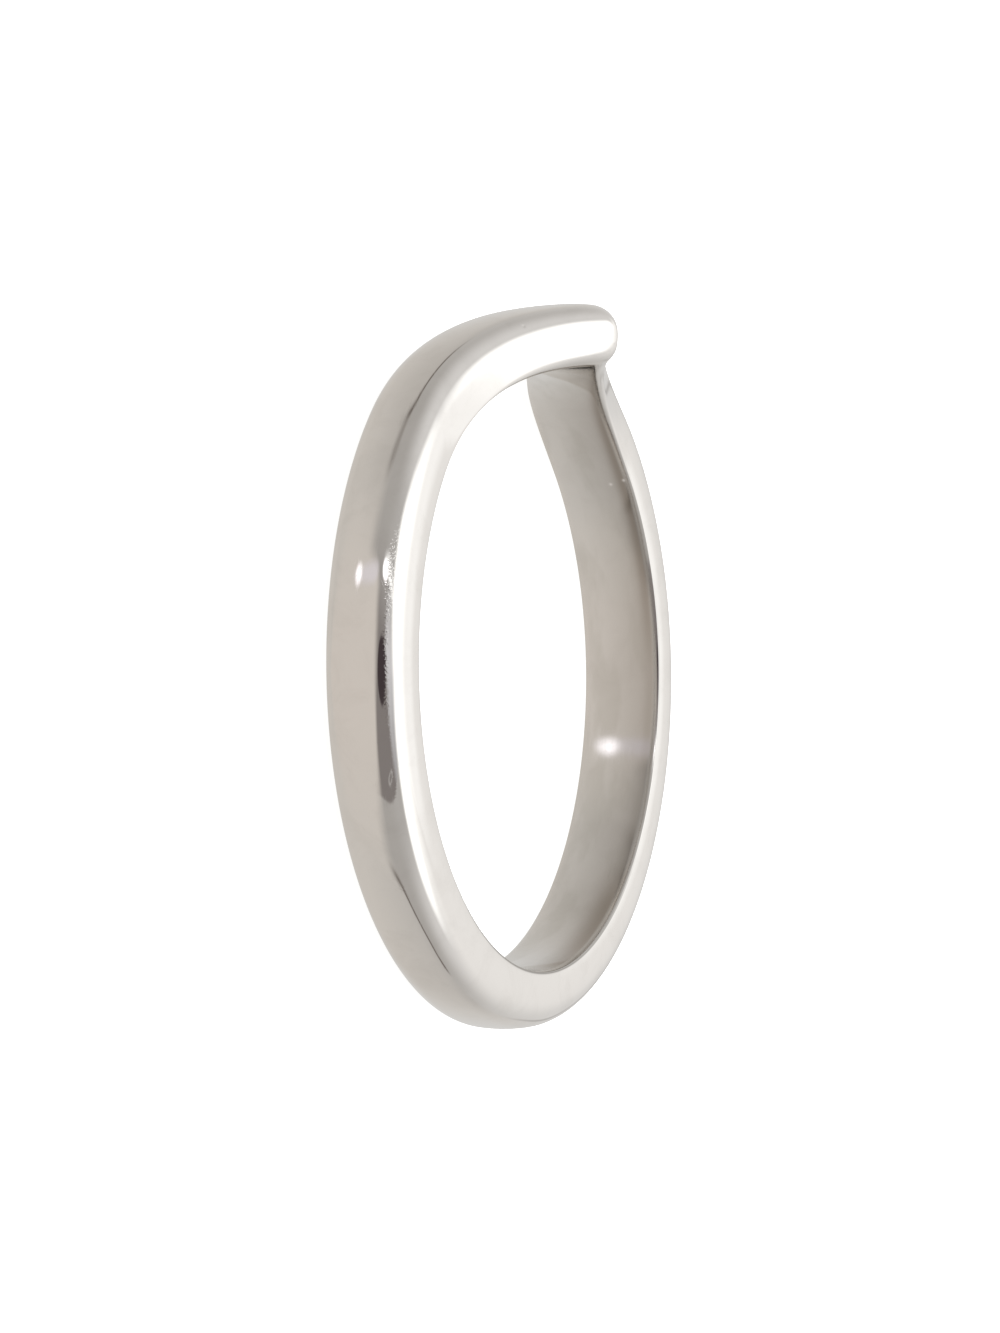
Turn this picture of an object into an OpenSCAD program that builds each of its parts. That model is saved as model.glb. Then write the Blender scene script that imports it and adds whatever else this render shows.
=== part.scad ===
// Wishbone ring: a plain polished band whose front is drawn out into a soft vee.
// Units are millimetres. The ring lies on its side as it would on a table: the bore's axis is
// +Z through the origin, the back rim is flat on z = 0, and the vee's tip, at -Y, points to +Z.

/* [Finger hole] */
// Inside diameter of the ring
bore_d = 17; // [14:0.5:21]

/* [Band] */
// Width of the band along the finger, away from the vee
band_w = 2.35; // [2.2:0.05:3]
// Thickness of the band from the bore to the crown of its outer face
band_t = 1.7; // [1.65:0.05:2.2]
// Extra thickness at the tip of the vee
tip_swell = 0.12; // [0:0.01:0.3]
// Height of the crown that domes the outer face
crown_h = 0.2; // [0.1:0.05:0.3]
// Radius of the two outer edges
outer_round = 0.8; // [0.4:0.05:0.8]
// How far the rounding of each inner edge runs along the bore
inner_run = 0.35; // [0.2:0.05:0.5]
// How far the rounding of each inner edge cuts into the rim
inner_cut = 0.1; // [0.1:0.05:0.3]

/* [Vee] */
// Half the span of the vee, straight across the front of the ring
vee_span = 3.8; // [3.4:0.1:4]
// Rise of the front rim at the tip, on the outer face
front_rise = 2.5; // [1.5:0.1:3]
// Rise of the front rim at the tip, in the bore
bore_rise = 2.4; // [1:0.1:2.6]
// Rise of the back rim at the tip
back_rise = 2; // [1:0.1:2.4]
// Softening of the tip along the front rim
front_soft = 0.3; // [0.2:0.1:1]
// Softening of the tip along the back rim
back_soft = 0.8; // [0.2:0.1:1]
// Length over which each leg eases into the round band
foot_ease = 2.8; // [2:0.1:3]
// How far the front inner edge's rounding runs along the bore at the tip
tip_run = 0.7; // [0.3:0.05:1]
// How far the front inner edge's rounding cuts into the rim at the tip
tip_cut = 0.65; // [0.2:0.05:0.7]

/* [Hidden] */

bore_r = bore_d / 2;
half_w = band_w / 2;
// Half the arc of the ring over which the thickness swells towards the tip
swell_arc = 46;

// Facets: stations round half the ring, and points on each curve of the section
stations = 80;
outer_steps = 7;
crown_steps = 4;
inner_steps = 6;
bore_facets = 256;

// The inner edges' arcs stop just short of the bore and drop straight through it to the skin,
// so that the bore cuts them cleanly
bore_gap = 0.015;
skin = 0.1;

// Crown of the outer face: an arc across the band, and how far out its centre lies
crown_r = (half_w * half_w + crown_h * crown_h) / (2 * crown_h);
crown_c = band_t - crown_r;
// Centre of an outer edge's arc, which touches both the flat rim and the crown
edge_v = half_w - outer_round;
edge_u = crown_c + sqrt(pow(crown_r - outer_round, 2) - edge_v * edge_v);
// Direction from the crown's centre through that of the edge
edge_dir = atan2(edge_u - crown_c, edge_v);

// The section is drawn in v, along the finger from the band's middle, and u, out from the bore.
// Elliptical arc about [cv, cu], with the half axes av and au
function arc(cv, cu, av, au, from, to, steps) =
    [for (i = [0 : steps]) let (a = from + (to - from) * i / steps) [cv + av * cos(a), cu + au * sin(a)]];

// From the skin up an inner edge to the flat rim
function inner_edge(run, cut) =
    let (edge = arc(half_w - run, cut, run, cut, -asin(1 - bore_gap / cut), 0, inner_steps))
    concat([[edge[0][0] - skin, -skin]], edge);

// Round an outer edge and up to the crown's middle
outer_edge = concat(
    arc(edge_v, edge_u, outer_round, outer_round, 0, edge_dir, outer_steps),
    arc(0, crown_c, crown_r, crown_r, edge_dir + (90 - edge_dir) / crown_steps, 90, crown_steps - 1)
);

// The same points on the back half of the section, in reverse order and without the first skip
function mirrored(points, skip) =
    [for (i = [len(points) - 1 - skip : -1 : 0]) [-points[i][0], points[i][1]]];

// The whole section where the vee has risen by the share s of its height
function section(s) = concat(
    inner_edge(inner_run + (tip_run - inner_run) * s, inner_cut + (tip_cut - inner_cut) * s),
    outer_edge,
    mirrored(outer_edge, 1),
    mirrored(inner_edge(inner_run, inner_cut), 0)
);
section_n = len(section(0));

// A ramp that eases from 0 to a straight line over ease on either side of its corner
function eased(d, ease) = d <= -ease ? 0 : d >= ease ? d : pow(d + ease, 2) / (4 * ease);

// Share of the rise that a rim has at the distance x across the front: 1 at the tip, 0 past the legs
function vee(x, soft) =
    eased(vee_span - sqrt(x * x + soft * soft), foot_ease) / eased(vee_span - soft, foot_ease);

// Extra thickness at the angle t from the tip
function swell(t) = abs(t) < swell_arc ? tip_swell * (1 + cos(180 * t / swell_arc)) / 2 : 0;

// The section's point p = [v, u], carried to the angle t from the tip
function band_point(t, p) =
    let (
        r = bore_r + p[1] * (1 + swell(t) / band_t),
        x = r * sin(t),
        rise = bore_rise + (front_rise - bore_rise) * p[1] / band_t,
        front = cos(t) > 0 ? rise * vee(x, front_soft) : 0,
        back = cos(t) > 0 ? back_rise * vee(x, back_soft) : 0,
        share = (p[0] + half_w) / band_w
    )
    [x, -r * cos(t), half_w + p[0] + front * share + back * (1 - share)];

// Angle of a station, from -180 to 180, closer together near the tip
function station_angle(i) = let (s = i / stations) 60 * s * (1 + 2 * s * s);

// All the points of one station
function station(i) =
    let (
        t = station_angle(i),
        s = cos(t) > 0 ? vee(bore_r * sin(t), front_soft) : 0
    )
    [for (p = section(s)) band_point(t, p)];

// Two triangles for the patch a, b, c, d between two stations, mirrored about the tip
function patch(a, b, c, d, flip) = flip ? [[a, d, c], [a, c, b]] : [[a, d, b], [b, d, c]];

module wishbone_band() {
    ring_n = 2 * stations;
    points = [for (i = [0 : ring_n - 1]) each station(i - stations)];
    faces = [for (i = [0 : ring_n - 1], j = [0 : section_n - 1])
        let (
            here = i * section_n,
            next = ((i + 1) % ring_n) * section_n,
            k = (j + 1) % section_n
        )
        each patch(here + j, next + j, next + k, here + k, i < stations)];
    color("silver")
        difference() {
            polyhedron(points = points, faces = faces, convexity = 6);
            translate([0, 0, -band_w])
                cylinder(h = 3 * band_w + front_rise, r = bore_r, $fn = bore_facets);
        }
}

wishbone_band();
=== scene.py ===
# %% [markdown]
# A plain silver wishbone ring
#
# The ring is one piece of metal: a slim domed band whose front is drawn out into a soft vee. It
# lies on its side on a pale table. There is nothing on it but its own curve and its polish, so
# this lesson has three subjects: a surface that follows a rule, a metal that shows the marks of
# wear, and a studio that is worth reflecting, because a mirror looks like whatever is round it.

# %% Load the frame
import math

import bpy
from mathutils import Matrix, Vector


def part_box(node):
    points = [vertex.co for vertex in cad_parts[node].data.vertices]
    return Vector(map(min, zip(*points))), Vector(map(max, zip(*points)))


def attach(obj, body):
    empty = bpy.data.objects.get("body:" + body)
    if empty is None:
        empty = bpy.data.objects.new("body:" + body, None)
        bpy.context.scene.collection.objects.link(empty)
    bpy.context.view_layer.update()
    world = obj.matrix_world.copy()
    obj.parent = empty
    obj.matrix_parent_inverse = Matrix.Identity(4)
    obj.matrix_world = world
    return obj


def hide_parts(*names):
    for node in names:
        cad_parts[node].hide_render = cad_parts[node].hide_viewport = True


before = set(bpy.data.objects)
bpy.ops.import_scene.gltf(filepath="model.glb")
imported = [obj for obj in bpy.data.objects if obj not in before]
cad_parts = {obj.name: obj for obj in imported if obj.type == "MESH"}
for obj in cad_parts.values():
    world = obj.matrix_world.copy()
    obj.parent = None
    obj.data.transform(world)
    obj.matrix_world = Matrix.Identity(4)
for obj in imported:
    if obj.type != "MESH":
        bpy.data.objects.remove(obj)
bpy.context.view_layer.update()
band_low, band_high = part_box("wishbone_band")
MM = 0.001
DEGREE = math.pi / 180
print("the band fills", [round((b - a) / MM, 2) for a, b in zip(band_low, band_high)], "mm")

# %% [markdown]
# A notation for node maths
#
# Both the shape and the finish are sums made of nodes. Written one node at a time, a sum of ten
# terms takes thirty lines and nobody can read it back. So a small class wraps one output socket
# and gives it Python's own signs. Behind each sign it adds the Math node. The same class serves
# Geometry Nodes and shaders, because they share their Math nodes.

# %% Sums with sockets
class Value:
    """One output socket of a node tree, on which Python's signs do sums."""

    def __init__(self, tree, socket):
        self.tree = tree
        self.socket = socket

    @classmethod
    def of(cls, tree, kind, settings=None, inputs=None, output=0):
        """Any node, from its type, its settings and what goes into its sockets."""
        node = tree.nodes.new(kind)
        for name, setting in (settings or {}).items():
            setattr(node, name, setting)
        for key, value in (inputs or {}).items():
            if isinstance(value, Value):
                tree.links.new(value.socket, node.inputs[key])
            else:
                node.inputs[key].default_value = value
        return cls(tree, node.outputs[output])

    def also(self, kind, settings=None, inputs=None, output=0):
        """Another node in the same tree."""
        return Value.of(self.tree, kind, settings, inputs, output)

    def sum(self, operation, *terms):
        return self.also("ShaderNodeMath", {"operation": operation}, dict(enumerate(terms)))

    def __add__(self, other):
        return self.sum("ADD", self, other)

    def __sub__(self, other):
        return self.sum("SUBTRACT", self, other)

    def __rsub__(self, other):
        return self.sum("SUBTRACT", other, self)

    def __mul__(self, other):
        return self.sum("MULTIPLY", self, other)

    def __truediv__(self, other):
        return self.sum("DIVIDE", self, other)

    def __rtruediv__(self, other):
        return self.sum("DIVIDE", other, self)

    def __pow__(self, other):
        return self.sum("POWER", self, other)

    def __neg__(self):
        return self.sum("MULTIPLY", self, -1.0)

    __radd__ = __add__
    __rmul__ = __mul__


def sin(x):
    return x.sum("SINE", x)


def cos(x):
    return x.sum("COSINE", x)


def tan(x):
    return x.sum("TANGENT", x)


def root(x):
    return x.sum("SQRT", x)


def limit(x, low, high):
    return x.sum("MINIMUM", x.sum("MAXIMUM", x, low), high)


def rise(x, low, high):
    """0 below low, 1 above high, and a soft step between them."""
    ends = {"Value": x, "From Min": low, "From Max": high, "To Min": 0.0, "To Max": 1.0}
    return x.also("ShaderNodeMapRange", {"interpolation_type": "SMOOTHSTEP"}, ends)


def bell(x, middle, width):
    """1 at the middle, and falling off smoothly to either side."""
    return x.sum("EXPONENT", -(((x - middle) / width) ** 2))


def xyz(vector):
    return [Value(vector.tree, socket) for socket in
            vector.also("ShaderNodeSeparateXYZ", {}, {0: vector}).socket.node.outputs]


def point(x, y, z):
    tree = next(v.tree for v in (x, y, z) if isinstance(v, Value))
    return Value.of(tree, "ShaderNodeCombineXYZ", {}, {0: x, 1: y, 2: z})


# %% [markdown]
# The band, as a rule
#
# A jeweller draws this ring as two things: a section, which is a flat bore, two flat rims and a
# domed outer face with soft edges between them, and a path, which is a circle whose front is
# lifted into a vee. It could be modelled by hand with edge loops and a subdivision surface, but
# each highlight on polished metal would then show where the loops lie. A formula has no such
# lumps. So Geometry Nodes start from a flat grid: one of its directions runs round the ring and
# the other round the section, and one Set Position node rolls it up into the band.
#
# These are the sizes, in millimetres, and two angles in degrees: how far the rims and the wall of
# the bore lean over at their edges, as a polishing wheel leaves no face quite flat. They are the
# group's named inputs too.

# %% The band's sizes
SIZES = {
    "Bore radius": 8.5,
    "Band width": 2.35,
    "Band thickness": 1.7,
    "Tip swell": 0.12,
    "Crown height": 0.2,
    "Outer round": 0.8,
    "Rim lean": 6.0,
    "Inner run": 0.35,
    "Inner cut": 0.07,
    "Wall lean": 4.0,
    "Vee span": 3.8,
    "Front rise": 2.5,
    "Bore rise": 2.4,
    "Back rise": 2.0,
    "Front soft": 0.3,
    "Back soft": 0.8,
    "Foot ease": 2.8,
    "Tip run": 0.7,
    "Tip cut": 0.65,
}
# Half the arc over which the band swells towards the tip
SWELL_ARC = 46 * DEGREE
# Points of the grid that are closer than this, in metres, become one
MERGE_DISTANCE = 1e-6

# Rows of faces on each stretch of half the section, from the crown's middle to the bore's
SECTION_STEPS = {"crown": 8, "outer edge": 14, "rim": 8, "inner edge": 12, "wall": 8}
HALF_STEPS = sum(SECTION_STEPS.values())
ROUND_STEPS = 640
print("the band has", ROUND_STEPS * 2 * HALF_STEPS * 2, "triangles")

# %% A tree with named inputs
def sized_tree(name, sizes):
    tree = bpy.data.node_groups.new(name, "GeometryNodeTree")
    for label, size in sizes.items():
        socket = tree.interface.new_socket(label, in_out="INPUT", socket_type="NodeSocketFloat")
        socket.default_value = size
    tree.interface.new_socket("Geometry", in_out="OUTPUT", socket_type="NodeSocketGeometry")
    entry = tree.nodes.new("NodeGroupInput")
    return tree, {label: Value(tree, entry.outputs[label]) for label in sizes}


# %% [markdown]
# The section
#
# Half the section is five stretches, one after the other: the crown's arc, the outer edge's arc,
# the rim, the inner edge's piece of an ellipse and the wall of the bore. The rim and the wall look
# straight, but each is an arc of a few degrees, and a mirror shows that: without it a face would
# have one flat tone. Each stretch starts in the direction in which the last one ended, so that no
# reflection has a kink.
#
# A chain of if-else would need a switch for each stretch. There is a neater way: every stretch gets
# a share that runs from 0 to 1 while the walk is on it, and the place is the sum of what each has
# added.

# %% Walk round the section
def stretch_shares(walk):
    """How far the walk has come along each stretch, from 0 to 1."""
    shares = {}
    start = 0
    for name, steps in SECTION_STEPS.items():
        shares[name] = limit((walk - start) / steps, 0.0, 1.0)
        start += steps
    return shares


def half_section(s, shares, run, cut):
    """The place on half the section: v along the finger, u out from the bore."""
    half_w = s["Band width"] / 2
    crown_r = (half_w * half_w + s["Crown height"] ** 2) / (2 * s["Crown height"])
    crown_c = s["Band thickness"] - crown_r
    edge_v = half_w - s["Outer round"]
    edge_u = crown_c + root((crown_r - s["Outer round"]) ** 2 - edge_v * edge_v)
    edge_dir = crown_r.sum("ARCTAN2", edge_u - crown_c, edge_v)

    rim_lean = s["Rim lean"] * DEGREE
    wall_lean = s["Wall lean"] * DEGREE
    inner_from = tan(rim_lean).sum("ARCTAN2", tan(rim_lean) * cut, run)
    inner_to = cut.sum("ARCTAN2", cut, run * tan(wall_lean))

    wall_v = edge_v + s["Outer round"] * cos(rim_lean) - run * (cos(inner_from) - cos(inner_to))
    wall_u = wall_v * tan(wall_lean / 2)
    rim_from = edge_u + s["Outer round"] * sin(rim_lean)
    rim_to = wall_u + cut * (sin(inner_to) - sin(inner_from))
    rim_r = (rim_from - rim_to) / (2 * sin(rim_lean))
    wall_r = wall_v / sin(wall_lean)

    # The direction in which each stretch faces, or the place on the ellipse, along its share
    crown_a = math.pi / 2 + (edge_dir - math.pi / 2) * shares["crown"]
    outer_a = edge_dir + (rim_lean - edge_dir) * shares["outer edge"]
    rim_a = rim_lean * (1 - shares["rim"] * 2)
    inner_a = inner_from + (inner_to - inner_from) * shares["inner edge"]
    wall_a = wall_lean * (1 - shares["wall"])

    v = crown_r * cos(crown_a)
    v = v + s["Outer round"] * (cos(outer_a) - cos(edge_dir))
    v = v + rim_r * (cos(rim_a) - cos(rim_lean))
    v = v - run * (cos(inner_from) - cos(inner_a))
    v = v - wall_r * (sin(wall_lean) - sin(wall_a))

    u = crown_c + crown_r * sin(crown_a)
    u = u + s["Outer round"] * (sin(outer_a) - sin(edge_dir))
    u = u - rim_r * (sin(rim_lean) - sin(rim_a))
    u = u - cut * (sin(inner_a) - sin(inner_from))
    u = u - wall_r * (cos(wall_a) - cos(wall_lean))
    return v, u


# %% [markdown]
# The vee
#
# The vee is a ramp on either side of the tip. Its foot eases into the round band, and its tip is
# softened by taking the root of x squared plus a little, which turns the corner of a vee into a
# hyperbola. The front rim is softened less than the back rim: seen from in front the tip of the
# real one is crisp, while behind, where another band may sit against it, the curve is gentler.

# %% Lift the front into a vee
def eased(d, ease):
    """A ramp that eases from 0 to a straight line on either side of its corner."""
    return limit(d + ease, 0.0, ease * 2) ** 2 / (4 * ease) + d.sum("MAXIMUM", d - ease, 0.0)


def vee(s, x, soft, in_front):
    """Share of the rise at the distance x across the front: 1 at the tip, 0 past the legs."""
    ramp = eased(s["Vee span"] - root(x * x + soft * soft), s["Foot ease"])
    return in_front * ramp / eased(s["Vee span"] - soft, s["Foot ease"])


def band_point(s, turn, side, shares):
    """The place on the band, from the turn round it and the walk round its section."""
    in_front = turn.sum("GREATER_THAN", cos(turn), 0.0)
    grown = vee(s, s["Bore radius"] * sin(turn), s["Front soft"], in_front)
    grown = grown * side.sum("GREATER_THAN", side, 0.0)
    run = s["Inner run"] + (s["Tip run"] - s["Inner run"]) * grown
    cut = s["Inner cut"] + (s["Tip cut"] - s["Inner cut"]) * grown
    v, u = half_section(s, shares, run, cut)
    v = v * side

    near_tip = limit(turn.sum("ABSOLUTE", turn) / SWELL_ARC, 0.0, 1.0)
    swell = s["Tip swell"] * (1 + cos(near_tip * math.pi)) / 2
    r = s["Bore radius"] + u * (1 + swell / s["Band thickness"])
    x = r * sin(turn)
    lift = s["Bore rise"] + (s["Front rise"] - s["Bore rise"]) * u / s["Band thickness"]
    front = lift * vee(s, x, s["Front soft"], in_front)
    back = s["Back rise"] * vee(s, x, s["Back soft"], in_front)
    share = v / s["Band width"] + 0.5
    z = s["Band width"] / 2 + v + front * share + back * (1 - share)
    return point(x * MM, r * cos(turn) * -MM, z * MM), v / (s["Band width"] / 2)


# %% Roll the grid up into the band
def band_tree(metal):
    tree, s = sized_tree("band by rule", SIZES)
    grid = Value.of(tree, "GeometryNodeMeshGrid", {}, {
        "Size X": 2.0, "Size Y": 2.0 * HALF_STEPS,
        "Vertices X": ROUND_STEPS + 1, "Vertices Y": 2 * HALF_STEPS + 1})
    across, along, _ = xyz(Value.of(tree, "GeometryNodeInputPosition"))
    # The rows lie closer together near the tip, where the band bends most
    turn = (across + across ** 3) * (math.pi / 2)
    side = along.sum("SIGN", along)
    shares = stretch_shares(along.sum("ABSOLUTE", along))
    place, level = band_point(s, turn, side, shares)

    # Both measures are kept before the grid moves, because they read its flat coordinates
    kept = grid
    for name, value in (("inside", shares["inner edge"]), ("level", level)):
        kept = Value.of(tree, "GeometryNodeStoreNamedAttribute",
                        {"data_type": "FLOAT", "domain": "POINT"},
                        {"Geometry": kept, "Name": name, "Value": value})
    rolled = kept.also("GeometryNodeSetPosition", {}, {"Geometry": kept, "Position": place})
    closed = rolled.also("GeometryNodeMergeByDistance", {}, {
        "Geometry": rolled, "Distance": MERGE_DISTANCE})
    smooth = closed.also("GeometryNodeSetShadeSmooth", {}, {"Geometry": closed})
    single = smooth.also("GeometryNodeRealizeInstances", {}, {"Geometry": smooth})
    done = single.also("GeometryNodeSetMaterial", {}, {"Geometry": single, "Material": metal})
    exit_node = tree.nodes.new("NodeGroupOutput")
    tree.links.new(done.socket, exit_node.inputs["Geometry"])
    return tree


# %% [markdown]
# Polished silver
#
# Real silver is never a perfect mirror. A polishing wheel leaves the surface faintly wavy, a cloth
# leaves hairlines that mostly run along the band, and fingers leave patches that are a little
# duller. These are what tell the eye that it is metal, and not chrome paint. The inside of a band
# gets less polish and keeps more skin, the thin film that tarnish leaves. So it is duller and
# warmer, with faint olive patches. Its colour is also darkened with painted shade, more towards
# its front edge, and a brown band of painted shade lies just inside that edge. A dark line runs in
# places where the rims meet the bore. Two tiny painted glints are light spots put into the colour
# there, one side of the outer edge is scuffed, and a tiny pit lies near the tip.
#
# An image texture would need an unwrapped surface, and would blur close to. So all of it is worked
# out from Object coordinates in millimetres, in which the marks keep their real size, and from two
# measures that the band carries on its points: inside, which is 1 on the bore's wall, and level,
# which runs from -1 at the back rim to 1 at the front rim.

# %% Noise, colours and lines for the finish
def noise(vector, scale, detail=2.0, roughness=0.5, distortion=0.0):
    return vector.also("ShaderNodeTexNoise", {"noise_dimensions": "3D"}, {
        "Vector": vector, "Scale": scale, "Detail": detail,
        "Roughness": roughness, "Distortion": distortion})


def blend(share, a, b):
    """Two colours, mixed by a share."""
    return share.also("ShaderNodeMix", {"data_type": "RGBA"}, {0: share, 6: a, 7: b}, output=2)


def measure(tree, name):
    """One of the measures that the band carries."""
    return Value.of(tree, "ShaderNodeAttribute", {"attribute_name": name}, output=2)


def threads(vector, scale, width):
    """Thin lines where a noise crosses its middle."""
    field = noise(vector, scale, detail=0.0)
    return 1 - rise(field.sum("ABSOLUTE", field - 0.5), 0.0, width)


# In millimetres
SPOT_WIDTH = 0.05


def dot(in_mm, place):
    """A tiny round spot in the metal at one place."""
    away = in_mm.also("ShaderNodeVectorMath", {"operation": "DISTANCE"},
                      {0: in_mm, 1: place}, output=1)
    return bell(away, 0.0, SPOT_WIDTH)


# %% [markdown]
# Where the marks lie
#
# Each mark is a mask between 0 and 1. It could be worked out apart for the colour, the roughness
# and the bump, but then the three would drift away from each other. So every mask is made once,
# and the three read the same one, as a real mark changes all three at one place.
#
# Painted shade in a brown tint is strongest in a line just inside the front edge of the bore, most
# of all near the tip, and at the back. A dark line also runs in the rounding between bore and rim,
# at the sides and at the back.

# %% Painted shade and a dark line in the bore
# Spans of the measure inside, and of the measure level. Neither has a unit
PAINTED_SHADE_INSIDE = (0.3, 1.0)
BROWN_INSIDE = (0.7, 1.0)
PAINTED_SHADE_LEVELS = (-1.0, 1.1)
BROWN_LEVELS = (0.1, 0.7)
EDGE_LEVELS = (0.6, 0.9)
# Spans along Y, in millimetres
TIP_SPAN = (-1.0, 3.5)
BROWN_BACK = (5.6, 7.0)
DARK_EDGE_BACK = (5.0, 8.0)
# Lines, as (middle, width): by level, by the distance from the axis and along Y
BROWN_LINE = (0.77, 0.17)
CORNER_LINE = (8.61, 0.03)
DARK_EDGE_SIDE = (0.0, 2.0)
# How strong each part of a mask is
BROWN_SHARES = {"all round": 0.2, "tip": 0.65, "back": 0.6}
DARK_EDGE_SHARES = {"side": 0.2, "back": 0.75}


def painted_shade_and_edge_line_masks(y, out, inside, level):
    """Where the bore is darkened with painted shade, where brown painted shade lies, and where the
    dark line runs.
    """
    # Painted shade: the bore's colour grows darker towards its front edge
    painted_bore_shade = rise(inside, *PAINTED_SHADE_INSIDE) * rise(level, *PAINTED_SHADE_LEVELS)
    by_tip = BROWN_SHARES["all round"] + rise(-y, *TIP_SPAN) * BROWN_SHARES["tip"]
    by_back = rise(level, *BROWN_LEVELS) * rise(y, *BROWN_BACK) * BROWN_SHARES["back"]
    # Painted shade in a brown tint, in a line just inside the front edge, strongest near the tip,
    # and at the back
    brown = rise(inside, *BROWN_INSIDE) * (bell(level, *BROWN_LINE) * by_tip + by_back)
    edge = rise(level.sum("ABSOLUTE", level), *EDGE_LEVELS)
    # A dark line in the rounding between bore and rim, at the sides and at the back
    edge_darkening = bell(y, *DARK_EDGE_SIDE) * DARK_EDGE_SHARES["side"]
    edge_darkening = edge_darkening + rise(y, *DARK_EDGE_BACK) * DARK_EDGE_SHARES["back"]
    return painted_bore_shade, brown, bell(out, *CORNER_LINE) * edge * edge_darkening


# %% Scuffs on the outer edge
# A line by level, a span along X, and two lines along Y, the second of them fainter
SCUFF_LINE = (0.71, 0.05)
SCUFFED_SIDE = (0.0, 4.0)
SCUFF_STRONG = (-3.0, 1.0)
SCUFF_FAINT = (-0.5, 2.2)
FAINT_SHARE = 0.5
SCUFF_GRAIN = 13.0
# A noise lies round 0.5. A mark starts where it passes the first value, and is full at the second
SCUFF_ONSET = (0.48, 0.62)


def scuff_mask(x, y, level, in_mm):
    """Fine dents in a short stretch of the outer edge."""
    stretch = bell(y, *SCUFF_STRONG) + bell(y, *SCUFF_FAINT) * FAINT_SHARE
    scuffed = bell(level, *SCUFF_LINE) * rise(x, *SCUFFED_SIDE) * stretch
    return scuffed * rise(noise(in_mm, SCUFF_GRAIN, detail=1.0), *SCUFF_ONSET)


# %% All the marks
HAIR_ONSET = (0.35, 0.6)
CROSSING_ONSET = (0.4, 0.62)
CLOUD_ONSET = (0.42, 0.72)
OLIVE_ONSET = (0.42, 0.62)
# The rounding between rim and bore is the part of inside between these two spans
ROUNDING_STARTS = (0.0, 0.3)
ROUNDING_ENDS = (0.8, 1.0)


def find_marks(tree):
    """Every mask, by its name, with the place in millimetres."""
    where = Value.of(tree, "ShaderNodeTexCoord", output=3)
    x, y, z = [part / MM for part in xyz(where)]
    in_mm = point(x, y, z)
    out = root(x * x + y * y)
    inside = measure(tree, "inside")
    level = measure(tree, "level")

    # Along the band neither z nor the distance from the axis changes much, so a noise that
    # changes fast with those two and slowly with the rest is drawn out along it. The other
    # vector is aslant, for the few hairlines that cross the rest
    along = point(x * 0.12, y * 0.12, z * 4 + out * 5)
    aslant = point(x * 1.1 + y * 0.4, y * 0.3 - z * 1.6, z * 0.4 + x * 0.7)
    waves = noise(in_mm, scale=0.45, detail=1.0)
    smudges = noise(in_mm, scale=0.9, detail=4.0, roughness=0.6, distortion=0.6)
    patches = noise(point(x * 0.5, y * 0.4, z * 1.3), scale=0.9, detail=3.0)
    hairs = threads(along, scale=2.6, width=0.012) * rise(smudges, *HAIR_ONSET)
    crossing = threads(aslant, scale=1.3, width=0.006) * rise(waves, *CROSSING_ONSET)
    painted_bore_shade, brown, corner = painted_shade_and_edge_line_masks(y, out, inside, level)
    return {
        "in_mm": in_mm, "inside": inside, "painted_bore_shade": painted_bore_shade, "brown": brown, "corner": corner,
        "olive": inside * rise(patches, *OLIVE_ONSET),
        "cloudy": rise(smudges, *CLOUD_ONSET),
        "hairs": hairs + crossing,
        "rounding": rise(inside, *ROUNDING_STARTS) * (1 - rise(inside, *ROUNDING_ENDS)),
        "waves": waves,
        "grain": noise(in_mm, scale=16.0, detail=2.0),
        "brushed": noise(along, scale=6.0, detail=3.0),
        "scuffs": scuff_mask(x, y, level, in_mm)}


# %% [markdown]
# Layers of skin, painted shade and painted glints
#
# The colour of a metal is what tints its reflections, so skin shows as a darker, warmer mirror.
# Painted shade in the bore is laid into the colour the same way, and two painted glints are light
# spots in it. Skin could be a second shader laid over the first, but the film is far too thin to
# have a gloss of its own. So each layer only changes the metal's colour, one over the other,
# through its mask.

# %% Colours of the metal, of its skin, and of painted shade and glints
SILVER = (0.93, 0.91, 0.885, 1.0)
# Painted shade for the whole bore
BORE_PAINTED_SHADE_TONE = (0.88, 0.87, 0.85, 1.0)
# A tarnish tint, which also serves as painted shade in the bore
TARNISH_AND_PAINTED_SHADE = (0.55, 0.52, 0.485, 1.0)
OLIVE_SKIN = (0.50, 0.485, 0.425, 1.0)
# Painted shade in a brown tint
BROWN_PAINTED_SHADE = (0.39, 0.345, 0.30, 1.0)
DARK_EDGE_TONE = (0.16, 0.145, 0.125, 1.0)
# The colour of the painted glints
PAINTED_GLINT_TONE = (1.0, 0.97, 0.95, 1.0)

# Each layer over the silver, of skin or of painted shade: its mask, how much of it shows,
# and its colour
LAYERS = [
    # These two layers are painted shade: the bore a little darker all over, and more towards its
    # front edge
    ("inside", 0.6, BORE_PAINTED_SHADE_TONE),
    ("painted_bore_shade", 0.75, TARNISH_AND_PAINTED_SHADE),
    ("cloudy", 0.10, TARNISH_AND_PAINTED_SHADE),
    ("olive", 0.2, OLIVE_SKIN),
    # Painted shade in a brown tint
    ("brown", 1.0, BROWN_PAINTED_SHADE),
    # The dark line between bore and rim
    ("corner", 1.0, DARK_EDGE_TONE),
]
# Two painted glints in the bore, light spots put into the colour, in millimetres
PAINTED_GLINT_SPOTS = [(-6.72, -5.22, 1.71), (-6.67, -5.33, 2.15)]


def skin_and_painted_light_colour(marks):
    colour = SILVER
    for name, share, skin in LAYERS:
        colour = blend(marks[name] * share, colour, skin)
    # Two painted glints: light spots put into the colour
    for place in PAINTED_GLINT_SPOTS:
        colour = blend(dot(marks["in_mm"], place), colour, PAINTED_GLINT_TONE)
    return colour


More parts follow.
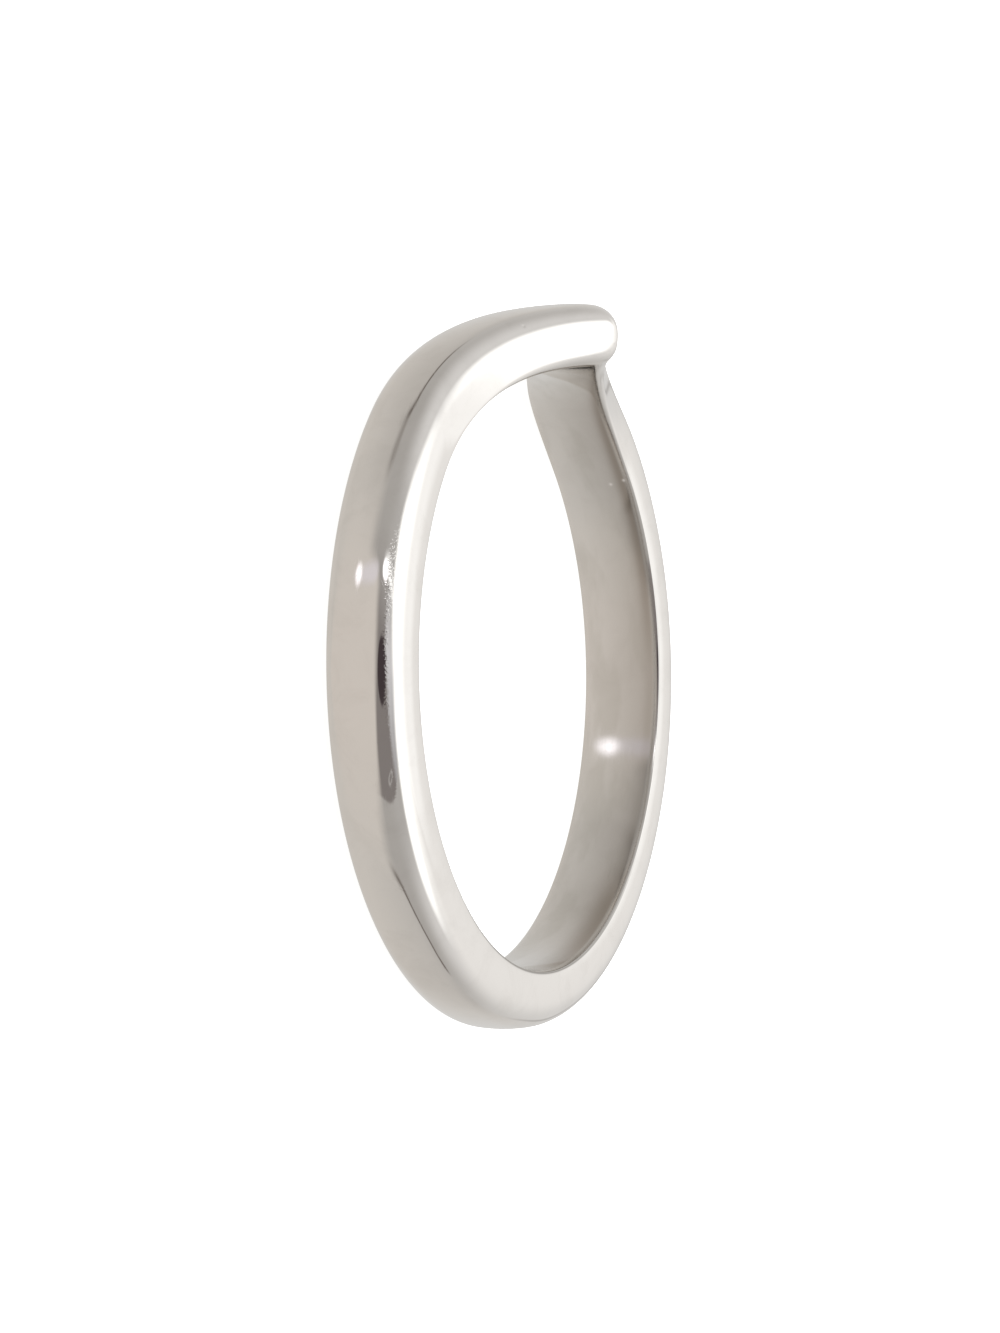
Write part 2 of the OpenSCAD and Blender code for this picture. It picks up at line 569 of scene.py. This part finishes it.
# %% [markdown]
# Dullness and height
#
# These marks are from a few thousandths of a millimetre down to far less. As geometry they would
# need millions of faces, so a bump turns the shading instead, and the rest is roughness, which
# stands for scratches too fine to see. Both are plain sums of the masks.

# %% How dull the metal is, and how far its marks stand up
# What each mark adds to the roughness of the polish
POLISH = 0.03
DULLING = {"cloudy": 0.03, "brushed": 0.02, "inside": 0.05, "hairs": 0.05, "rounding": 0.12}
ROUGH_LIMITS = (0.02, 0.4)
MICRON = MM * 0.001
# How far each mark stands up from the metal, in microns
HEIGHTS = {"waves": 9.0, "grain": 0.1, "brushed": 0.12, "hairs": -0.15, "scuffs": 4.0}
# A tiny pit near the tip, in millimetres, and its depth in microns
PIT = (2.64, -9.65, 3.10)
PIT_DEPTH = 9.0


def dullness(marks):
    # A brushed line is as often smoother as duller, so it is counted from its middle
    rough = POLISH - 0.5 * DULLING["brushed"]
    for name, share in DULLING.items():
        rough = rough + marks[name] * share
    return limit(rough, *ROUGH_LIMITS)


def height(marks):
    total = dot(marks["in_mm"], PIT) * -PIT_DEPTH
    for name, step in HEIGHTS.items():
        total = total + marks[name] * step
    return total


def silver():
    material = bpy.data.materials.new("polished silver")
    material.use_nodes = True
    tree = material.node_tree
    shader = tree.nodes["Principled BSDF"]
    marks = find_marks(tree)
    raised = height(marks)
    bump = raised.also("ShaderNodeBump", {}, {
        "Strength": 1.0, "Distance": MICRON, "Height": raised})
    tree.links.new(skin_and_painted_light_colour(marks).socket, shader.inputs["Base Color"])
    tree.links.new(dullness(marks).socket, shader.inputs["Roughness"])
    tree.links.new(bump.socket, shader.inputs["Normal"])
    shader.inputs["Metallic"].default_value = 1.0
    return material


metal = silver()
print("the finish has", len(metal.node_tree.nodes), "nodes")

# %% [markdown]
# From rule to plain mesh
#
# A modifier's inputs are set by the socket's identifier, which never changes, and not by its
# name, which may. The modifier could stay live, but then every later step would have to evaluate
# it first. So the evaluated result is kept as a plain mesh without the modifier.
#
# The mesh is then tested. One that is closed has no open edge, and its volume comes out positive
# only when its faces point outwards.

# %% Make the band
def made_plain(name, tree, sizes):
    carrier = bpy.data.objects.new(name, bpy.data.meshes.new(name + " carrier"))
    bpy.context.collection.objects.link(carrier)
    modifier = carrier.modifiers.new("rule", "NODES")
    modifier.node_group = tree
    for item in tree.interface.items_tree:
        if item.in_out == "INPUT":
            modifier[item.identifier] = sizes[item.name]
    graph = bpy.context.evaluated_depsgraph_get()
    mesh = bpy.data.meshes.new_from_object(carrier.evaluated_get(graph), depsgraph=graph)
    carrier.modifiers.remove(modifier)
    carrier.data = mesh
    mesh.name = name
    # A grid brings an empty material slot of its own, which would be shown as plain grey
    finish = next(material for material in mesh.materials if material)
    mesh.materials.clear()
    mesh.materials.append(finish)
    mesh.polygons.foreach_set("material_index", [0] * len(mesh.polygons))
    return carrier


band = made_plain("silver_band", band_tree(metal), SIZES)
print("faces:", len(band.data.polygons), "finish:", band.data.materials[0].name)
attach(band, "root")
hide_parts("wishbone_band")

# %% Is it closed, and does it face outwards?
import bmesh

probe = bmesh.new()
probe.from_mesh(band.data)
open_edges = sum(not edge.is_manifold for edge in probe.edges)
volume = probe.calc_volume(signed=True) / MM ** 3
probe.free()
print("open edges:", open_edges, "volume:", round(volume, 1), "cubic mm")

# %% [markdown]
# The table
#
# Small things are often photographed on a light table, a milky sheet that glows a little, so that
# they cast next to no shadow. White paint alone would need a strong lamp, and one casts a shadow.
# So this plane is like that sheet: part of its white is emission, and the rest is plain matt
# white, which keeps a faint shadow where the ring touches it. The silver doesn't mirror it: what
# the metal shows is the tent, whose tones the next step gives.

# %% The table
# In metres. The table lies just below zero, because the band's domed rim reaches down so far
TABLE_SIZE = 3.0
TABLE_DROP = 0.00002
TABLE_GLOW = 0.86
TABLE_GLOW_TONE = (1.0, 1.0, 0.995, 1.0)
TABLE_TONES = (0.40, 0.40, 0.395, 1), (0.43, 0.43, 0.425, 1)
TABLE_MOTTLE = 400.0
TABLE_ROUGHNESS = 0.8
TABLE_SHINE = 0.2


def table_material():
    material = bpy.data.materials.new("pale table")
    material.use_nodes = True
    tree = material.node_tree
    shader = tree.nodes["Principled BSDF"]
    where = Value.of(tree, "ShaderNodeTexCoord", output=3)
    colour = blend(noise(where, TABLE_MOTTLE, detail=3.0), *TABLE_TONES)
    tree.links.new(colour.socket, shader.inputs["Base Color"])
    shader.inputs["Emission Color"].default_value = TABLE_GLOW_TONE
    shader.inputs["Emission Strength"].default_value = TABLE_GLOW
    shader.inputs["Roughness"].default_value = TABLE_ROUGHNESS
    shader.inputs["Specular IOR Level"].default_value = TABLE_SHINE
    return material


def flat_plane(name, size, level, material):
    half = size / 2
    around = [(-half, -half), (half, -half), (half, half), (-half, half)]
    mesh = bpy.data.meshes.new(name)
    mesh.from_pydata([(x, y, level) for x, y in around], [], [(0, 1, 2, 3)])
    mesh.materials.append(material)
    plane = bpy.data.objects.new(name, mesh)
    bpy.context.collection.objects.link(plane)
    return plane


table = flat_plane("table", TABLE_SIZE, -TABLE_DROP, table_material())
table.visible_glossy = False
print("the table lies", round(TABLE_DROP / MM, 3), "mm below zero")

# %% [markdown]
# The tent that the metal mirrors
#
# A mirror has no colour of its own to show, so most of its look is made here. Softboxes could be
# built as glowing planes, but their edges would need gradients, and each would need a place. The
# tent is far away compared with the ring, so what matters is only the direction in which each
# thing lies. The World can say that directly: a direction is turned into two angles, one above
# the table and one round the ring, and each thing in the tent is a soft mask on those angles.
#
# Everything below is in degrees: turn runs round the ring from -180 to 180, up is the height above
# the table, and aside is the turn to either side. A pair of angles is where one tone starts to
# pass into the next, and where it has passed.

# %% Lines and ovals in the tent
def line_through(turn, corners):
    """A smooth line through the corners, level before the first and after the last."""
    height = corners[0][1]
    for (start, low), (end, high) in zip(corners, corners[1:]):
        height = height + rise(turn, start, end) * (high - low)
    return height


def with_oval(colour, turn, up, oval):
    """The tent with a soft-edged oval in it."""
    at_turn, at_up, half_turn, half_up, softness, strength, tone = oval
    away = root(((turn - at_turn) / half_turn) ** 2 + ((up - at_up) / half_up) ** 2)
    return blend((1 - rise(away, 1 - softness, 1 + softness)) * strength, colour, tone)


# %% [markdown]
# The walls
#
# The walls are a cool grey, darkest in front and brightest beyond the ring. Round the dark opening
# for the lens hangs a shaded screen, which ends sharply on one side. One gradient with many stops
# could colour a wall by its height, but these tones also change with the turn. So each change of
# tone is a blend of its own, and the blends are laid one over the other.

# %% Walls, screen and lens
WALL_TONE = (0.405, 0.388, 0.370, 1)
WALL_TOP_TONE = (0.44, 0.425, 0.41, 1)
SIDE_TOP_TONE = (0.675, 0.662, 0.65, 1)
FAR_TONE = (0.68, 0.67, 0.655, 1)
FAR_TOP_TONE = (0.845, 0.828, 0.808, 1)
SHADE_TONE = (0.22, 0.20, 0.192, 1)
SHADE_SIDE_TONE = (0.42, 0.413, 0.42, 1)
SHADE_TOP_TONE = (0.66, 0.65, 0.665, 1)
LENS_TONE = (0.055, 0.042, 0.045, 1)

FRONT_TO_FAR = (85.0, 165.0)
TOP_TO_SIDE = (50.0, 105.0)
SIDE_TO_FAR = (105.0, 155.0)
WALL_HEIGHTS = (4.0, 42.0)
FAR_END = (150.0, 178.0)
FAR_HEIGHTS = (-6.0, 30.0)
SHADE_TURNS = (-45.0, 22.0)
SHADE_HEIGHTS = (42.0, 57.0)
SHADE_STEP_TURNS = (-5.0, 15.0)
SHADE_STEP = 8
SCREEN_SLANT = 0.1
# Corners, as (turn, strength)
SCREEN = [(-38.8, 0), (-37.4, 1), (8, 1), (50, 0)]
# An oval, as (turn, up, half the width, half the height, softness, strength, tone)
LENS = (1.5, 28, 11.2, 16, 0.12, 1, LENS_TONE)


def walls(turn, up, aside):
    """Grey walls that grow lighter towards the far side and towards the softbox."""
    low = blend(rise(aside, *FRONT_TO_FAR), WALL_TONE, FAR_TONE)
    high = blend(rise(aside, *TOP_TO_SIDE), WALL_TOP_TONE, SIDE_TOP_TONE)
    high = blend(rise(-turn, *SIDE_TO_FAR), high, FAR_TOP_TONE)
    colour = blend(rise(up, *WALL_HEIGHTS), low, high)
    return blend(rise(aside, *FAR_END) * rise(up, *FAR_HEIGHTS), colour, FAR_TOP_TONE)


def with_screen(colour, turn, up):
    """The shaded screen, and the opening for the lens in it."""
    shade = blend(rise(turn, *SHADE_TURNS), SHADE_SIDE_TONE, SHADE_TOP_TONE)
    stepped = up + rise(turn, *SHADE_STEP_TURNS) * SHADE_STEP
    shade = blend(rise(stepped, *SHADE_HEIGHTS), SHADE_TONE, shade)
    colour = blend(line_through(turn + up * SCREEN_SLANT, SCREEN), colour, shade)
    return with_oval(colour, turn, up, LENS)


# %% [markdown]
# The sheet
#
# A warm sheet covers all below the level of the table, with a dark crease where it folds up to the
# walls. The fold rises in front of the lens and at the sides. A wave could draw it, but no sheet
# hangs so evenly. So its height is a short list of corners with a smooth line through them, and so
# are its softness and the strength of the crease.

# %% Sheet and crease
SHEET_TONE = (0.62, 0.575, 0.532, 1)
SHEET_SIDE_TONE = (0.592, 0.562, 0.525, 1)
SHEET_DIM_TONE = (0.47, 0.445, 0.415, 1)
SHEET_FAR_TONE = (0.66, 0.65, 0.635, 1)
CREASE_TONE = (0.14, 0.12, 0.105, 1)

# Corners, as (turn, up) or (turn, strength)
FOLD = [(-180, -8), (-160, -6), (-146, 2), (-112, 0.5), (-92, 0.5), (-57, -16.5),
        (14, 7), (26, 4), (41, -16), (84, -15), (114, -6), (180, -8)]
FOLD_SOFTNESS = [(-15, 5), (10, 11), (28, 11), (42, 5)]
CREASED = [(-155, 0.4), (-135, 0), (-108, 0), (-102, 1), (-68, 1), (-58, 0),
           (60, 0), (72, 0.5), (84, 0.5), (90, 1), (106, 1), (116, 0), (160, 0), (180, 0.4)]
CREASE_WIDTH = 1.9
FRONT_TO_SIDE = (10.0, 75.0)
# The sheet mirrors the walls a little beside the ring, and lies in shade on one side
BESIDE_FROM = (50.0, 75.0)
BESIDE_TO = (118.0, 150.0)
BESIDE_HEIGHTS = (-45.0, 5.0)
BESIDE_SHARE = 0.75
DIM_FROM = (30.0, 70.0)
DIM_TO = (105.0, 122.0)
DIM_HEIGHTS = (-34.0, -18.0)
DIM_SHARES = (0.15, 0.45)
SHEET_FAR_TURNS = (115.0, 165.0)
SHEET_FAR_HEIGHTS = (-50.0, -30.0)


def sheet(turn, up, aside):
    """The tones of the sheet, before it is laid over the walls."""
    colour = blend(rise(aside, *FRONT_TO_SIDE), SHEET_TONE, SHEET_SIDE_TONE)
    beside = rise(aside, *BESIDE_FROM) * (1 - rise(aside, *BESIDE_TO))
    colour = blend(beside * rise(up, *BESIDE_HEIGHTS) * BESIDE_SHARE, colour, WALL_TOP_TONE)
    dim = rise(turn, *DIM_FROM) * (1 - rise(turn, *DIM_TO))
    dim = dim * (DIM_SHARES[0] + rise(up, *DIM_HEIGHTS) * DIM_SHARES[1])
    colour = blend(dim, colour, SHEET_DIM_TONE)
    far = rise(aside, *SHEET_FAR_TURNS) * rise(up, *SHEET_FAR_HEIGHTS)
    return blend(far, colour, SHEET_FAR_TONE)


def with_sheet(colour, turn, up, aside):
    """The walls above the fold, the sheet below it, and the crease along it."""
    above = up - line_through(turn, FOLD)
    over_fold = rise(above / line_through(turn, FOLD_SOFTNESS), -1.0, 1.0)
    colour = blend(over_fold, sheet(turn, up, aside), colour)
    crease = line_through(turn, CREASED) * bell(above, 0.0, CREASE_WIDTH)
    return blend(crease, colour, CREASE_TONE)


# %% [markdown]
# The lights
#
# Overhead is a white softbox, whose rim hangs lower at the sides. A bright panel stands straight
# beyond the ring. Beside the lens hang a strip lamp and, on the other side, a small fitting with a
# light frame, and a small lamp and its glow lie low on the sheet. They could be light objects, but
# a polished metal mirrors such a lamp as a disk or a square with a hard edge. An oval in the tent
# has the softness of the glints on the real ring.

# %% Panel, softbox and lamps
PANEL_TONE = (1.0, 0.99, 0.975, 1)
BOX_TONE = (1.25, 1.25, 1.235, 1)
LAMP_TONE = (2.2, 2.15, 2.2, 1)
SMALL_LAMP_TONE = (1.5, 1.45, 1.5, 1)
GLOW_TONE = (0.70, 0.665, 0.70, 1)

# The panel is placed by the turn away from the far side, and its steep edge leans
PANEL_FROM = (-50.0, -20.0)
PANEL_TO = (-12.5, -9.0)
PANEL_LEAN = 0.5
PANEL_HEIGHTS = (22.0, 32.0)
# Corners, as (turn, up) or (turn, softness)
BOX_RIM = [(-145, 57.5), (-112, 45.5), (-6, 75), (70, 52.5), (100, 53), (130, 48.5),
           (150, 48.5), (180, 57.5)]
BOX_SOFTNESS = [(-150, 18), (-100, 5), (-70, 5), (-45, 8), (50, 8), (75, 5),
                (150, 7), (180, 18)]
# Ovals, as (turn, up, half the width, half the height, softness, strength, tone)
LAMPS = [
    (37, 42, 3.5, 20, 0.6, 0.9, BOX_TONE),
    (34, 24, 3, 9, 0.5, 1, LAMP_TONE),
    (32, -14, 3.4, 12, 0.6, 0.75, GLOW_TONE),
    (32.5, -25.5, 3.2, 2.5, 0.7, 1, SMALL_LAMP_TONE),
    (-34, 30, 1.9, 10, 0.25, 0.8, WALL_TOP_TONE),
    (-34, 30, 1.1, 6, 0.4, 1, SHADE_TONE),
]


def with_panel(colour, beyond, up):
    panel = rise(beyond, *PANEL_FROM) * (1 - rise(beyond - up * PANEL_LEAN, *PANEL_TO))
    return blend(panel * rise(up, *PANEL_HEIGHTS), colour, PANEL_TONE)


def with_softbox(colour, turn, up):
    over_rim = (up - line_through(turn, BOX_RIM)) / line_through(turn, BOX_SOFTNESS)
    return blend(rise(over_rim, -1.0, 1.0), colour, BOX_TONE)


# %% The studio
def studio():
    world = bpy.data.worlds.new("studio tent")
    world.use_nodes = True
    tree = world.node_tree
    x, y, z = xyz(Value.of(tree, "ShaderNodeTexCoord"))
    up = z.sum("ARCSINE", limit(z, -1.0, 1.0)) / DEGREE
    turn = x.sum("ARCTAN2", -y, x) / DEGREE
    aside = turn.sum("ABSOLUTE", turn)
    # The turn jumps from 180 to -180 degrees at the far side, and this angle doesn't
    beyond = y.sum("ARCTAN2", y, -x) / DEGREE

    colour = walls(turn, up, aside)
    colour = with_screen(colour, turn, up)
    colour = with_sheet(colour, turn, up, aside)
    colour = with_panel(colour, beyond, up)
    colour = with_softbox(colour, turn, up)
    for oval in LAMPS:
        colour = with_oval(colour, turn, up, oval)
    tree.links.new(colour.socket, tree.nodes["Background"].inputs["Color"])
    return world


bpy.context.scene.world = studio()
bpy.context.scene.view_settings.view_transform = "Standard"
print("the tent has", len(bpy.context.scene.world.node_tree.nodes), "nodes")

# %% [markdown]
# A light for the table
#
# The tent alone leaves the table a light grey. A brighter tent would change the metal too. So one
# broad soft lamp overhead brings the table to white, and it is hidden from the metal, whose only
# light is what it mirrors.

# %% The table's light
# In metres and watts
LIGHT_HEIGHT = 0.6
LIGHT_SIZE = 0.9
LIGHT_WATTS = 9.0

lamp = bpy.data.lights.new("table light", "AREA")
lamp.shape = "DISK"
lamp.size = LIGHT_SIZE
lamp.energy = LIGHT_WATTS
lamp_object = bpy.data.objects.new("table light", lamp)
lamp_object.location = (0, 0, LIGHT_HEIGHT)
lamp_object.visible_glossy = False
bpy.context.collection.objects.link(lamp_object)
print("the lamp gives", LIGHT_WATTS, "watts")

# %% [markdown]
# The camera
#
# The photograph looks at the ring from one side, a little above the plane of its rims, and is
# turned a quarter, so that the ring seems to stand. The same view of a ring that lies on its side
# has the camera rolled by a quarter turn. A constraint could aim a camera at the ring, but it
# would not roll it. So its three axes are worked out from an azimuth, an elevation and a roll, in
# degrees, and it looks at the middle of the plain band. Its distance is in millimetres, and a
# small shift brings that middle to its pixel in the picture.

# %% The camera
AZIMUTH = 88.611
ELEVATION = 23.586
ROLL = -89.266
DISTANCE = 197.94
PIXELS_PER_MM = 35.2
CENTRE_PIXEL = (506.15, 669.75)
PICTURE = (1000, 1333)


def camera_axes(azimuth, elevation, roll):
    a, e, r = (math.radians(angle) for angle in (azimuth, elevation, roll))
    back = Vector((math.sin(a) * math.cos(e), -math.cos(a) * math.cos(e), math.sin(e)))
    up = (Vector((0, 0, 1)) - back * back.z).normalized()
    right = up.cross(back)
    turned_up = up * math.cos(r) + right * math.sin(r)
    return turned_up.cross(back), turned_up, back


right, upward, back = camera_axes(AZIMUTH, ELEVATION, ROLL)
focus = Vector((0, 0, SIZES["Band width"] / 2)) * MM
lens = bpy.data.cameras.new("camera")
lens.lens = PIXELS_PER_MM * DISTANCE * lens.sensor_width / PICTURE[1]
lens.shift_x = (PICTURE[0] / 2 - CENTRE_PIXEL[0]) / PICTURE[1]
lens.shift_y = (CENTRE_PIXEL[1] - PICTURE[1] / 2) / PICTURE[1]
lens.clip_start = MM
camera = bpy.data.objects.new("camera", lens)
turned = Matrix((right, upward, back)).transposed().to_4x4()
camera.matrix_world = Matrix.Translation(focus + back * DISTANCE * MM) @ turned
bpy.context.collection.objects.link(camera)
bpy.context.scene.camera = camera
print("camera at", [round(c / MM, 1) for c in camera.location], "mm")
print("focal length", round(lens.lens, 1), "mm")
